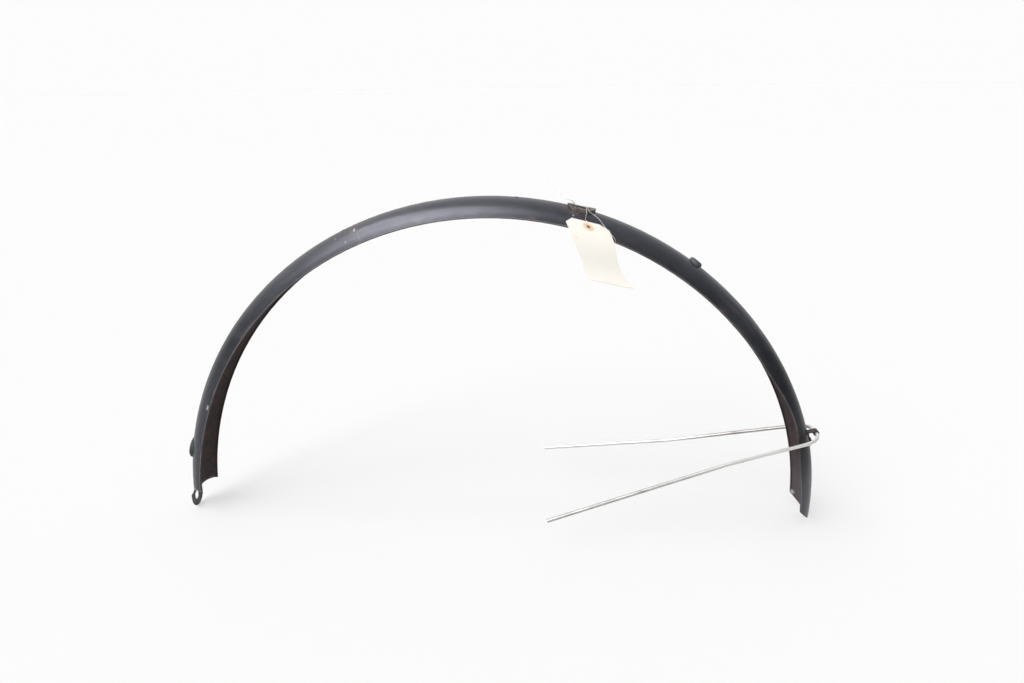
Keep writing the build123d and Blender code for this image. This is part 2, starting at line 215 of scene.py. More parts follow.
class FittingSettings(PropertyGroup):
    """Colours of the collar, the plugs, the stay and its clip."""

    rubber: colour_prop("Rubber", "Aged rubber of the plugs", (0.022, 0.0265, 0.0265))
    bloom: colour_prop("Bloom", "Pale bloom and dust on the rubber", (0.090, 0.100, 0.100))
    groove: colour_prop("Groove", "Dirt in the moulded ring of the plugs", (0.008, 0.009, 0.009))
    zinc: colour_prop("Zinc", "Plating of the stay wire", (0.57, 0.56, 0.545))
    # Colour of the painted highlight on the far leg and the bend
    zinc_highlight: colour_prop("Clean zinc", "Cleaner plating of the far leg and the bend", (0.82, 0.82, 0.81))
    # Also the colour of the blade's painted shadow on the far leg
    tarnish: colour_prop("Tarnish", "Dull grey where the plating has oxidised", (0.19, 0.186, 0.182))
    clip: colour_prop("Clip", "Worn paint of the stay clip", (0.014, 0.0125, 0.012))
    collar: colour_prop("Collar", "Thin worn paint of the lamp collar", (0.070, 0.062, 0.061))


class TagSettings(PropertyGroup):
    """Colours of the card tag and its tie."""

    card: colour_prop("Card", "Cream card", (0.68, 0.658, 0.612))
    stain: colour_prop("Stain", "Foxing and thumb marks", (0.66, 0.55, 0.42))
    ring: colour_prop("Ring", "Tan eyelet patch", (0.70, 0.44, 0.27))
    ring_fibre: colour_prop("Ring fibre", "Dark fibres in the eyelet patch", (0.42, 0.22, 0.12))
    ring_edge: colour_prop("Ring edge", "Rubbed edge about the eyelet's hole", (0.34, 0.19, 0.11))
    tie: colour_prop("Tie", "Bright soft wire", (0.54, 0.53, 0.51))
    tie_end: colour_prop("Tie end", "Clean free end of the wire", (0.92, 0.92, 0.91))
    # Painted shade on the wire where it turns through the card's hole
    hole_shade: colour_prop("Knot", "Dark turn of the wire in the card's hole", (0.03, 0.025, 0.02))


class StageSettings(PropertyGroup):
    """Floor, lights and camera."""

    floor: colour_prop("Floor", "Pale floor", (0.25, 0.25, 0.25))
    floor_glow: share_prop("Floor glow", "Light that the floor gives off, which keeps shadows pale", 0.53)
    backdrop: light_prop("Backdrop", "Tone of the plain backdrop", 0.978)
    back_light: light_prop("Back light", "Brightness low down behind the object", 0.92)
    low_light: light_prop("Low light", "Brightness at eye level", 0.20)
    top_light: light_prop("Top light", "Brightness overhead", 0.87)
    softbox: light_prop("Soft box", "Brightness of the wide soft box", 6.6)
    softbox_way: way_prop("Soft box place", "Which way the soft box lies", (-0.40, -0.52, 0.75))
    key: light_prop("Key light", "Strength of the lamp in front", 0.5)
    key_way: way_prop("Key direction", "Which way the front light travels", (0.32, 0.72, -0.62))
    side: light_prop("Side light", "Strength of the lamp on the left", 0.5)
    side_way: way_prop("Side direction", "Which way the left light travels", (0.58, 0.02, -0.81))
    lamp_spread: FloatProperty(
        name="Lamp spread", description="Angle that each lamp fills", default=radians(12), min=0,
        unit="ROTATION")
    camera_place: FloatVectorProperty(
        name="Camera place", description="Where the camera stands", default=(0.08445, -0.83319, 0.48879),
        subtype="TRANSLATION", unit="LENGTH")
    camera_turn: FloatVectorProperty(
        name="Camera turn", description="Which way the camera looks",
        default=(radians(71.2464), radians(0.7761), radians(4.0165)), subtype="EULER", unit="ROTATION")
    lens: FloatProperty(
        name="Lens", description="Focal length in millimetres", default=28.12, min=1, unit="CAMERA")


# Node building

class Graph:
    """A node tree in the making, with short calls that add nodes to it."""

    def __init__(self, tree):
        self.nodes = tree.nodes
        self.links = tree.links
        self.nodes.clear()

    def put(self, socket, value):
        """Links an output to a socket, or sets the socket's own value."""
        if isinstance(value, bpy.types.NodeSocket):
            self.links.new(value, socket)
        elif socket.type == "RGBA":
            socket.default_value = (value[0], value[1], value[2], 1)
        else:
            socket.default_value = value

    def split(self, vector):
        """Three parts of a vector."""
        node = self.nodes.new("ShaderNodeSeparateXYZ")
        self.put(node.inputs[0], vector)
        return node.outputs[0], node.outputs[1], node.outputs[2]

    def join(self, x, y, z):
        """Vector from three parts."""
        node = self.nodes.new("ShaderNodeCombineXYZ")
        for socket, value in zip(node.inputs, (x, y, z)):
            self.put(socket, value)
        return node.outputs[0]

    def math(self, operation, first, second=0.0):
        """Math on one or two values."""
        node = self.nodes.new("ShaderNodeMath")
        node.operation = operation
        self.put(node.inputs[0], first)
        self.put(node.inputs[1], second)
        return node.outputs[0]

    def chain(self, operation, values):
        """Math on a row of values, one after another."""
        whole = values[0]
        for value in values[1:]:
            whole = self.math(operation, whole, value)
        return whole

    def add(self, *values):
        """Sum."""
        return self.chain("ADD", values)

    def minus(self, first, second):
        """Difference."""
        return self.math("SUBTRACT", first, second)

    def times(self, *values):
        """Product."""
        return self.chain("MULTIPLY", values)

    def most(self, *values):
        """Largest."""
        return self.chain("MAXIMUM", values)

    def gap(self, value, middle):
        """How far a value lies from a middle one."""
        return self.math("ABSOLUTE", self.minus(value, middle))

    def vector_math(self, operation, first, second, output="Vector"):
        """Math on two vectors."""
        node = self.nodes.new("ShaderNodeVectorMath")
        node.operation = operation
        self.put(node.inputs[0], first)
        self.put(node.inputs[1], second)
        return node.outputs[output]

    def dot(self, first, second):
        """How far one vector runs along another."""
        return self.vector_math("DOT_PRODUCT", first, second, "Value")

    def distance(self, first, second):
        """How far one point lies from another."""
        return self.vector_math("DISTANCE", first, second, "Value")

    def stretched(self, vector, factors):
        """Vector with each part scaled."""
        return self.vector_math("MULTIPLY", vector, factors)

    def step(self, value, low, high, start=0.0, end=1.0):
        """Smooth step from start to end as a value goes from low to high."""
        node = self.nodes.new("ShaderNodeMapRange")
        node.interpolation_type = "SMOOTHSTEP"
        self.put(node.inputs["Value"], value)
        node.inputs["From Min"].default_value = low
        node.inputs["From Max"].default_value = high
        node.inputs["To Min"].default_value = start
        node.inputs["To Max"].default_value = end
        return node.outputs["Result"]

    def mix(self, share, first, second):
        """Colour between two colours."""
        node = self.nodes.new("ShaderNodeMix")
        node.data_type = "RGBA"
        colours = [socket for socket in node.inputs if socket.type == "RGBA"]
        self.put(node.inputs["Factor"], share)
        self.put(colours[0], first)
        self.put(colours[1], second)
        return [socket for socket in node.outputs if socket.type == "RGBA"][0]

    def noise(self, vector, scale, detail=5.0, roughness=0.55, warp=0.0):
        """Cloudy noise from nought to one."""
        node = self.nodes.new("ShaderNodeTexNoise")
        self.put(node.inputs["Vector"], vector)
        node.inputs["Scale"].default_value = scale
        node.inputs["Detail"].default_value = detail
        node.inputs["Roughness"].default_value = roughness
        node.inputs["Distortion"].default_value = warp
        return node.outputs["Fac"]


class Finish(Graph):
    """A material with one shader."""

    def __init__(self, name, roughness, specular=0.5, metallic=0.0):
        self.material = bpy.data.materials.new(name)
        self.material.use_nodes = True
        super().__init__(self.material.node_tree)
        output = self.nodes.new("ShaderNodeOutputMaterial")
        self.shader = self.nodes.new("ShaderNodeBsdfPrincipled")
        self.links.new(self.shader.outputs["BSDF"], output.inputs["Surface"])
        self.set("Roughness", roughness)
        self.set("Specular IOR Level", specular)
        self.set("Metallic", metallic)

    def set(self, name, value):
        """Links or sets one of the shader's sockets."""
        self.put(self.shader.inputs[name], value)


class WornFinish(Finish):
    """A material whose marks are worked from object coordinates."""

    def __init__(self, name, roughness, specular=0.5, metallic=0.0):
        super().__init__(name, roughness, specular, metallic)
        coordinates = self.nodes.new("ShaderNodeTexCoord")
        self.place = coordinates.outputs["Object"]
        self.facing = coordinates.outputs["Normal"]
        self.x, self.y, self.z = self.split(self.place)

    def blob(self, centre, radius, ragged=0.0, soft=0.3):
        """Round patch about a point, with a ragged edge if asked."""
        gap = self.distance(self.place, centre)
        if ragged:
            tear = self.minus(self.noise(self.place, 1.6 / radius, 6), 0.5)
            gap = self.add(gap, self.times(tear, ragged * radius))
        return self.step(gap, radius, radius * (1 - soft))

    def from_axis(self, centre, axis):
        """Distance from a line through a point."""
        offset = self.vector_math("SUBTRACT", self.place, centre)
        run = self.dot(offset, axis)
        return self.distance(offset, self.stretched(self.join(run, run, run), axis))

    def bump(self, height, distance):
        """Small relief from a height of nought to one."""
        node = self.nodes.new("ShaderNodeBump")
        node.inputs["Strength"].default_value = 1
        node.inputs["Distance"].default_value = distance
        self.put(node.inputs["Height"], height)
        self.links.new(node.outputs["Normal"], self.shader.inputs["Normal"])


def wear(node_name, finish):
    """Gives a frame node its finish."""
    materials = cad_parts[node_name].data.materials
    materials.clear()
    materials.append(finish.material)


# Blade

class BladeFinish(WornFinish):
    """The blade's paint, laid on in layers that each cover the colour so far."""

    def __init__(self, paint):
        super().__init__("blade_paint", paint.gloss_roughness, paint.specular)
        self.paint = paint
        self.find_place()
        self.find_side()
        self.cloud = self.noise(self.skin, 16, 5, 0.55)
        self.mottle = self.noise(self.skin, 62, 7, 0.66, 0.4)
        self.grain = self.noise(self.place, 900, 4, 0.6)
        self.streak = self.noise(self.stretched(self.skin, (22, 1300, 600)), 1, 4, 0.6)
        self.broken = self.noise(self.stretched(self.skin, (90, 240, 0)), 1, 5, 0.65)
        self.flakes = self.add(self.times(self.mottle, 0.6),
                               self.times(self.noise(self.place, 210, 6, 0.7), 0.4))

    def find_place(self):
        """Works out how far along and across the blade a point lies, and how far out."""
        self.angle = self.math("ARCTAN2", self.z, self.x)
        self.reach = self.math("SQRT", self.add(self.times(self.x, self.x), self.times(self.z, self.z)))
        lean = self.math("ARCTAN2", self.times(self.y, -1), self.minus(self.reach, SECTION_CENTRE))
        self.along = self.times(self.angle, CROWN_RADIUS)
        self.across = self.times(lean, SECTION_RADIUS)
        self.skin = self.join(self.along, self.across, self.reach)

    def find_side(self):
        """Works out which half and which side of the sheet a point lies on, and how far over its rim."""
        self.near = self.step(self.y, 0.001, -0.001)
        self.far = self.minus(1, self.near)
        lifts = self.add(self.times(self.near, self.rim_lift(*NEAR_DENT)),
                         self.times(self.far, self.rim_lift(*FAR_DENT)))
        front = self.math("MAXIMUM", self.minus(self.angle, radians(FRONT_TAPER_ANGLE)), 0)
        front = self.times(front, 1 / radians(FRONT_ANGLE - FRONT_TAPER_ANGLE))
        rise = self.times(self.math("POWER", front, FRONT_RIM_CURVE), FRONT_RIM_RISE)
        self.over_rim = self.minus(self.reach, self.add(lifts, rise, RIM_RADIUS))

        outwards = self.join(self.math("COSINE", self.angle), 0, self.math("SINE", self.angle))
        self.inside = self.step(self.dot(self.facing, outwards), 0.04, -0.10)
        self.outside = self.minus(1, self.inside)

    def rim_lift(self, lift, peak, fade):
        """How far a bent rim stands above its round course, as in the solids."""
        share = self.times(self.gap(self.angle, radians(peak)), 1 / radians(fade))
        bend = self.math("COSINE", self.times(self.math("MINIMUM", share, 1), pi / 2))
        return self.times(bend, bend, lift)

    def between(self, start, end):
        """Share that grows to one as the angle along the blade goes from start to end."""
        return self.step(self.angle, radians(start), radians(end))

    def skin_box(self, centre, half, corner):
        """Signed distance from a round-cornered box drawn on the skin, centred at an angle and a lean."""
        middle = (radians(centre[0]) * CROWN_RADIUS, radians(centre[1]) * SECTION_RADIUS)
        squares = []
        for axis, value in enumerate((self.along, self.across)):
            over = self.minus(self.gap(value, middle[axis]), half[axis] - corner)
            over = self.math("MAXIMUM", over, 0)
            squares.append(self.times(over, over))
        return self.minus(self.math("SQRT", self.add(*squares)), corner)

    def cover(self, share, colour):
        """Covers a share of the colour so far with another."""
        self.colour = self.mix(share, self.colour, colour)

    def lay_paint(self):
        """Black paint, chalky in clouds, rubbed along the blade and speckled."""
        self.chalk = self.add(self.times(self.step(self.mottle, 0.38, 0.70), 0.26),
                              self.times(self.step(self.cloud, 0.42, 0.64), 0.16))
        self.rubbed = self.times(self.step(self.streak, 0.56, 0.72), self.step(self.cloud, 0.38, 0.60), 0.45)
        specks = self.times(self.step(self.grain, 0.69, 0.76), self.step(self.mottle, 0.45, 0.62), 0.35)
        self.colour = self.mix(self.chalk, self.paint.paint, self.paint.dull)
        self.cover(self.rubbed, self.paint.edge)
        self.cover(specks, self.paint.edge)

    def scuff_front_leg(self):
        """Light scuffs and scratches along the front leg."""
        leg = self.between(*SCUFFED_FRONT)
        scuffs = self.times(self.step(self.noise(self.skin, 260, 7, 0.75), 0.60, 0.70),
                            self.step(self.cloud, 0.36, 0.56), leg, 0.5)
        scratches = self.times(self.step(self.streak, 0.57, 0.70),
                               self.step(self.mottle, 0.42, 0.58), leg, 0.6)
        self.cover(self.most(scuffs, scratches), self.paint.edge)

    def wear_rims(self):
        """A light line on the near rim, partly worn paint and partly a painted highlight on the bead, dark
        red-brown on the far one, rust fraying up from both.
        """
        bead = self.step(self.over_rim, *RIM_BEAD)
        # Near rim: a lighter line, partly worn paint and partly a painted highlight where the bead catches
        # the light.
        near_rim_highlight_and_wear = self.times(bead, self.near, self.step(self.broken, 0.28, 0.58, 0.20, 0.70))
        self.far_wear = self.times(bead, self.far, self.step(self.broken, 0.30, 0.62, 0.35, 0.95))
        fray = self.times(self.step(self.over_rim, *RIM_FRAY), self.step(self.mottle, 0.55, 0.68), 0.5,
                          self.outside)
        self.cover(near_rim_highlight_and_wear, self.paint.edge)
        self.cover(self.far_wear, self.mix(self.broken, self.paint.deep_rust, self.paint.rust))
        self.cover(fray, self.paint.rust)

    def rust_inside(self):
        """Grime and rust inside the channel, dusty towards the tail."""
        crust = self.mix(self.step(self.flakes, 0.40, 0.64), self.paint.deep_rust, self.paint.rust)
        crust = self.mix(0.55, crust, self.paint.deep_rust)
        dusty = self.times(self.between(*DUSTY_TAIL), self.step(self.flakes, 0.30, 0.60, 0.45, 0.95))
        crust = self.mix(dusty, crust, self.paint.dust)
        self.cover(self.inside, crust)

    def mark_bridge(self):
        """Worn outline, edge and rusty smear about the bridge hole."""
        seat = self.skin_box(BRIDGE_SEAT, BRIDGE_SEAT_HALF, BRIDGE_SEAT_CORNER)
        pressed = self.times(self.step(seat, 0.0002, -0.0010), self.outside, 0.30)
        self.outline = self.times(self.step(self.math("ABSOLUTE", seat), 0.0007, 0.0001), self.outside,
                                  self.step(self.mottle, 0.42, 0.62, 0.05, 0.6))
        edge_gap = self.gap(self.along, radians(BRIDGE_EDGE_ANGLE) * CROWN_RADIUS)
        edge = self.times(self.step(edge_gap, 0.0006, 0.0001), self.outside,
                          self.step(self.across, -0.020, 0.004),
                          self.step(self.broken, 0.25, 0.55, 0.3, 0.75))
        smear = self.most(self.blob(on_blade(*SEAT_SMEAR), 0.0042, 1.5, 0.8),
                          self.times(self.blob(on_blade(*ROUND_CHIP), 0.0020, 1.4, 0.7), 0.8))
        self.cover(pressed, self.mix(0.35, self.paint.dull, self.paint.deep_rust))
        self.cover(self.times(self.most(self.outline, edge), 0.55), self.paint.edge)
        self.cover(self.times(smear, self.outside, 0.8), self.paint.rust)

    def chip_paint(self):
        """Chips down to the steel by the bridge, the near rim and the collar."""
        long_box = self.skin_box(LONG_CHIP, LONG_CHIP_HALF, LONG_CHIP_CORNER)
        long_chip = self.step(long_box, 0.0005, -0.0002)
        rim_box = self.skin_box(RIM_CHIP, RIM_CHIP_HALF, RIM_CHIP_CORNER)
        rim_chip = self.step(rim_box, 0.0006, -0.0002)
        chips = self.most(
            self.times(long_chip, self.step(self.grain, 0.30, 0.50, 0.25, 0.5)),
            self.times(rim_chip, self.step(self.grain, 0.30, 0.55, 0.2, 0.5)),
            self.times(self.blob(on_blade(*ROUND_CHIP), 0.0012, 1.2, 0.6), 0.3),
            self.times(self.blob(on_blade(*LOW_CHIP), 0.0015, 1.4, 0.7), 0.25),
            self.times(self.blob(on_blade(*COLLAR_CHIP), 0.0013, 1.4, 0.6), 0.45))
        self.chips = self.times(chips, self.outside)
        self.cover(self.chips, self.paint.bare)

    def stain_by_fittings(self):
        """Rust that spreads from the lamp collar, and a dark patch by the stay clip, partly dark rust and
        dirt, partly painted shade of the dented near wall.
        """
        rust = self.most(self.blob(on_blade(*COLLAR_RUST_TOP), 0.0100, 1.5, 0.9),
                         self.blob(on_blade(*COLLAR_RUST_SIDE), 0.0080, 1.6, 0.9))
        self.collar_rust = self.times(rust, self.outside, self.step(self.flakes, 0.40, 0.56))
        # Dark patch by the stay clip: partly dark rust and dirt, partly painted shade where the near wall is
        # dented
        self.grime_and_shade = self.times(self.blob(on_blade(*CLIP_GRIME_AND_SHADE), 0.0150, 1.2, 0.9), self.outside, 0.8)
        self.cover(self.times(self.collar_rust, 0.9), self.paint.rust)
        self.cover(self.grime_and_shade, self.paint.deep_rust)

    def wear_ends(self):
        """Front tab bare and brown below its fold, a light line along the fold that is partly bare steel and
        partly a painted highlight, and a bright bent corner at the tail.
        """
        ahead = self.step(self.x, *TAB_X)
        self.tab = self.times(ahead, self.step(self.z, *TAB_BARE_Z),
                              self.step(self.mottle, 0.25, 0.55, 0.65, 0.95))
        # Light line along the tab's fold: partly bare steel, partly a painted highlight on the edge
        fold = self.times(ahead, self.step(self.gap(self.z, TAB_FOLD_Z), 0.0009, 0.0002), self.near, 0.8)
        curl = self.times(self.blob(TAIL_CORNER, 0.0050, 1.3, 0.5), 0.75)
        self.bright = self.most(fold, curl)
        brown = self.mix(self.step(self.flakes, 0.42, 0.62), self.paint.deep_rust, self.paint.edge)
        self.cover(self.tab, brown)
        self.cover(self.bright, self.paint.bare)

    def set_surface(self):
        """Sets the colour, the gloss and the relief that the layers add up to."""
        rusty = self.most(self.times(self.inside, 0.9), self.collar_rust, self.tab,
                          self.times(self.far_wear, 0.8))
        chalk_roughness = self.paint.dull_roughness - self.paint.gloss_roughness
        rough = self.add(self.paint.gloss_roughness, self.times(self.chalk, chalk_roughness),
                         self.times(self.minus(self.mottle, 0.5), 0.16), self.times(rusty, 0.34),
                         self.times(self.rubbed, 0.2), self.times(self.grime_and_shade, 0.2))
        tail_leg = self.times(self.between(*DULL_TAIL_TOP), self.between(*DULL_TAIL_FOOT))
        dull_legs = self.most(tail_leg, self.times(self.between(*DULL_FRONT), 0.42))
        specular = self.step(dull_legs, 0, 1, self.paint.specular, self.paint.specular * 0.25)
        self.set("Base Color", self.colour)
        self.set("Roughness", rough)
        self.set("Specular IOR Level", specular)
        self.set("Specular Tint", self.paint.sheen)
        self.set("Metallic", self.times(self.most(self.chips, self.bright), 0.7))
        pits = self.times(self.flakes, self.add(self.times(rusty, 2.2), 0.12))
        peel = self.times(self.noise(self.place, 330, 2, 0.5), 0.10)
        dents = self.times(self.most(self.chips, self.outline), -0.5)
        self.bump(self.add(pits, peel, dents), 0.00045)


def blade_finish(paint):
    """Satin black paint, chalky in clouds, rubbed at the rims, rusty inside, chipped by the bridge hole, with
    painted highlights on the near rim and the tab's fold and painted shade by the stay clip.
    """
    finish = BladeFinish(paint)
    finish.lay_paint()
    finish.scuff_front_leg()
    finish.wear_rims()
    finish.rust_inside()
    finish.mark_bridge()
    finish.chip_paint()
    finish.stain_by_fittings()
    finish.wear_ends()
    finish.set_surface()
    return finish


# Fittings

def rubber_finish(name, fit, angle, radius, bloom_share):
    """Aged rubber with a moulded ring, bloom and fine pits."""
    finish = WornFinish(name, 0.62, 0.35)
    centre = on_crown(angle)
    ring = finish.from_axis(centre, centre.normalized())
    cloud = finish.noise(finish.place, 130, 6, 0.6)
    grain = finish.noise(finish.place, 1500, 3, 0.6)
    groove = finish.step(finish.gap(ring, radius * PLUG_GROOVE), 0.0007, 0.0001)
    rim = finish.step(ring, radius * PLUG_RIM[0], radius * PLUG_RIM[1])
    bloom = finish.add(finish.times(finish.step(cloud, 0.42, 0.70), 0.35), finish.times(rim, 0.22),
                       finish.times(finish.step(grain, 0.60, 0.75), 0.18))
    colour = finish.mix(finish.times(bloom, bloom_share), fit.rubber, fit.bloom)
    finish.set("Base Color", finish.mix(finish.times(groove, 0.7), colour, fit.groove))
    finish.set("Roughness", finish.add(0.50, finish.times(cloud, 0.22)))
    relief = finish.add(finish.times(grain, 0.25), finish.times(cloud, 0.3), finish.times(groove, -1))
    finish.bump(relief, 0.0004)
    return finish


def worn_black(name, base, paint, centre, rust_share, wear_from):
    """Thick black paint, thin from a level of noise up, with rust breaking through it towards a point."""
    finish = WornFinish(name, 0.55, 0.4)
    flakes = finish.noise(finish.place, 260, 7, 0.68, 0.6)
    grain = finish.noise(finish.place, 1300, 4, 0.65)
    close = finish.step(finish.distance(finish.place, centre), RUST_REACH, RUST_REACH * 0.2)
    rust = finish.add(flakes, finish.times(close, rust_share), finish.times(grain, 0.12))
    rust = finish.step(rust, 0.55, 0.76)
    worn = finish.step(finish.noise(finish.place, 420, 5, 0.6), wear_from, wear_from + 0.12)
    colour = finish.mix(finish.times(worn, 0.75), base, paint.edge)
    colour = finish.mix(rust, colour, finish.mix(finish.step(grain, 0.35, 0.65), paint.deep_rust, paint.rust))
    finish.set("Base Color", colour)
    finish.set("Roughness", finish.add(0.42, finish.times(rust, 0.35), finish.times(flakes, 0.12)))
    relief = finish.add(finish.times(flakes, 0.6), finish.times(grain, 0.3), finish.times(rust, 0.5))
    finish.bump(relief, 0.0003)
    return finish


def stay_finish(fit, paint):
    """Drawn and plated wire: fine lines, rust freckles and dull patches, darker towards the ends, painted
    highlights on the bend and the far leg, and the blade's painted shadow on the far leg beside the blade.
    """
    finish = WornFinish("stay_zinc", 0.3, 0.5, 0.9)
    lines = finish.noise(finish.stretched(finish.place, (35, 2600, 2600)), 1, 4, 0.6)
    patches = finish.noise(finish.stretched(finish.place, (45, 160, 160)), 1, 5, 0.62)
    grain = finish.noise(finish.place, 1700, 3, 0.6)

    # Where the wire grows darker towards its ends, where highlights are painted on the far leg and the bend,
    # and where the blade's shadow is painted on the far leg
    toward_ends = finish.step(finish.x, *STAY_ENDS_X)
    far = finish.step(finish.y, *STAY_FAR_Y)
    far_leg = finish.times(far, finish.step(finish.x, *STAY_FAR_LEG_X))
    blade_shadow = finish.times(far, finish.step(finish.x, *STAY_BLADE_SHADOW_X))
    bend = finish.times(finish.step(finish.y, *STAY_BEND_Y), finish.step(finish.x, *STAY_BEND_X))
    # Painted highlights on the far leg and the bend
    painted_highlight = finish.most(finish.times(far_leg, 0.42), finish.times(bend, 0.65))

    tarnish = finish.add(finish.times(finish.step(patches, 0.40, 0.68), 0.40), finish.times(toward_ends, 0.32),
                         finish.times(finish.step(lines, 0.50, 0.72), 0.28))
    freckles = finish.step(finish.add(patches, finish.times(grain, 0.22)), 0.74, 0.84)
    rust = finish.times(freckles, finish.step(far_leg, 0.0, 1.0, 0.55, 0.12))
    colour = finish.mix(tarnish, fit.zinc, fit.tarnish)
    # Painted shadow of the blade on the far leg
    colour = finish.mix(finish.times(blade_shadow, 0.6), colour, fit.tarnish)
    colour = finish.mix(painted_highlight, colour, fit.zinc_highlight)
    finish.set("Base Color", finish.mix(rust, colour, paint.rust))
    finish.set("Metallic", finish.step(finish.most(rust, finish.times(far_leg, 0.5)), 0.0, 1.0, 0.9, 0.35))
    finish.set("Roughness", finish.add(0.34, finish.times(tarnish, 0.20), finish.times(rust, 0.3)))
    relief = finish.add(finish.times(lines, 0.5), finish.times(grain, 0.2), finish.times(rust, 0.5))
    finish.bump(relief, 0.00012)
    return finish


# Tag

def card_finish(tag):
    """Blank cream card: fibres, faint foxing, a thumb smudge, soft dirty edges."""
    finish = WornFinish("card", 0.86, 0.25)
    offset = finish.vector_math("SUBTRACT", finish.place, TAG_CORNER)
    across = finish.dot(offset, TAG_ACROSS)
    down = finish.dot(offset, TAG_DOWN)
    sheet = finish.join(across, down, 0)
    fibre = finish.noise(finish.stretched(sheet, (1900, 620, 0)), 1, 5, 0.62)
    cloud = finish.noise(sheet, 46, 5, 0.6)
    spots = finish.step(finish.noise(sheet, 170, 4, 0.6), 0.66, 0.78)
    foxing = finish.times(spots, finish.step(cloud, 0.42, 0.62))
    sides = [across, finish.minus(TAG_WIDTH, across), down, finish.minus(TAG_LENGTH, down)]
    edge = finish.step(finish.chain("MINIMUM", sides), TAG_EDGE, 0.0)
    smudge = finish.blob(TAG_SMUDGE, 0.0042, 1.6, 0.95)
    dirt = finish.add(finish.times(edge, finish.step(cloud, 0.35, 0.6), 0.30), finish.times(foxing, 0.30),
                      finish.times(smudge, 0.55), finish.times(finish.step(cloud, 0.45, 0.75), 0.12),
                      finish.times(finish.step(fibre, 0.52, 0.75), 0.10))
    finish.set("Base Color", finish.mix(dirt, tag.card, tag.stain))
    finish.set("Roughness", finish.add(0.80, finish.times(fibre, 0.12)))
    finish.bump(finish.add(finish.times(fibre, 0.5), finish.times(cloud, 0.5)), 0.0002)
    return finish


def ring_finish(tag):
    """Tan paper eyelet with mottled fibres and a pressed edge about its hole."""
    finish = WornFinish("ring_paper", 0.8, 0.25)
    fibre = finish.noise(finish.place, 900, 5, 0.65)
    cloud = finish.noise(finish.place, 190, 4, 0.6)
    worn = finish.step(finish.from_axis(TAG_HOLE, TAG_FACE.normalized()), *RING_EDGE)
    colour = finish.mix(finish.step(cloud, 0.38, 0.66), tag.ring, tag.stain)
    colour = finish.mix(finish.times(finish.step(fibre, 0.45, 0.70), 0.35), colour, tag.ring_fibre)
    finish.set("Base Color", finish.mix(finish.times(worn, 0.45), colour, tag.ring_edge))
    finish.bump(finish.add(fibre, finish.times(worn, -0.6)), 0.00015)
    return finish


def tie_finish(tag, fit):
    """Soft bright wire, dulled in places, pale and matt at its free end, with painted shade where it turns
    through the card's hole.
    """
    finish = WornFinish("tie_steel", 0.28, 0.5, 0.55)
    patches = finish.noise(finish.place, 240, 4, 0.6)
    grain = finish.noise(finish.place, 2400, 3, 0.6)
    free_end = finish.step(finish.z, *TIE_FREE_Z)
    # Painted shade on the wire where it passes through the card's hole
    hole_shade = finish.blob(TIE_HOLE_SHADE, 0.0034)
    colour = finish.mix(finish.times(finish.step(patches, 0.45, 0.70), 0.5), tag.tie, fit.tarnish)
    colour = finish.mix(free_end, colour, tag.tie_end)
    finish.set("Base Color", finish.mix(finish.times(hole_shade, 0.9), colour, tag.hole_shade))
    finish.set("Roughness", finish.add(0.22, finish.times(patches, 0.2), finish.times(hole_shade, 0.4)))
    finish.set("Metallic", finish.step(free_end, 0.0, 1.0, 0.55, 0.0))
    finish.bump(finish.add(grain, patches), 0.00005)
    return finish


# Stage

def studio_light(stage):
    """World with a soft box high on the left, pale behind, dim at eye level and on the right."""
    world = bpy.data.worlds.new("studio")
    world.use_nodes = True
    graph = Graph(world.node_tree)
    output = graph.nodes.new("ShaderNodeOutputWorld")
    background = graph.nodes.new("ShaderNodeBackground")
    graph.links.new(background.outputs[0], output.inputs["Surface"])
    way = graph.nodes.new("ShaderNodeTexCoord").outputs["Generated"]
    x, y, z = graph.split(way)

    # Brighter towards the top, the left and the back
    slant = graph.math("EXPONENT", graph.add(graph.times(x, -0.4), graph.times(y, 0.65)))
    around = graph.times(graph.step(z, 0.0, 0.8, stage.low_light, stage.top_light), slant)
    behind = graph.times(graph.step(y, 0.30, 0.70), graph.step(z, 0.55, 0.25))
    back = graph.times(behind, graph.step(z, 0.12, 0.40, stage.back_light, stage.back_light * 1.3))
    around = graph.times(around, graph.minus(1, behind))
    facing = graph.dot(way, Vector(stage.softbox_way).normalized())
    softbox = graph.step(facing, *SOFTBOX_EDGE, 0, stage.softbox)
    graph.put(background.inputs["Color"], WHITE)
    graph.put(background.inputs["Strength"], graph.add(around, back, softbox))
    return world


def glowing_paper(name, colour, glow):
    """Plain matt finish with a glow of its own."""
    finish = Finish(name, 1.0, 0.0)
    finish.set("Base Color", colour)
    finish.set("Emission Color", WHITE)
    finish.set("Emission Strength", glow)
    return finish


def add_floor(stage):
    """Adds a plain pale floor just under the object."""
    bpy.ops.mesh.primitive_plane_add(size=FLOOR_SIZE, location=(0, 0, CAD_BOX[0][2] - FLOOR_GAP))
    floor = bpy.context.object
    floor.name = "floor"
    floor.data.materials.append(glowing_paper("floor_paper", stage.floor, stage.floor_glow).material)


def add_backdrop(stage):
    """Adds a plain pale dome that only closes the view and neither lights nor shades anything."""
    bpy.ops.mesh.primitive_uv_sphere_add(segments=64, ring_count=32, radius=BACKDROP_RADIUS)
    dome = bpy.context.object
    dome.name = "backdrop"
    dome.data.materials.append(glowing_paper("backdrop_paper", BLACK, stage.backdrop).material)
    dome.visible_diffuse = False
    dome.visible_glossy = False
    dome.visible_transmission = False
    dome.visible_shadow = False


def add_lamp(name, strength, way, spread):
    """Adds a soft lamp, far off, whose light travels one way."""
    bpy.ops.object.light_add(type="SUN", location=Vector(way) * -2)
    lamp = bpy.context.object
    lamp.name = name
    lamp.data.energy = strength
    lamp.data.angle = spread
    lamp.rotation_euler = Vector(way).to_track_quat("-Z", "Y").to_euler()


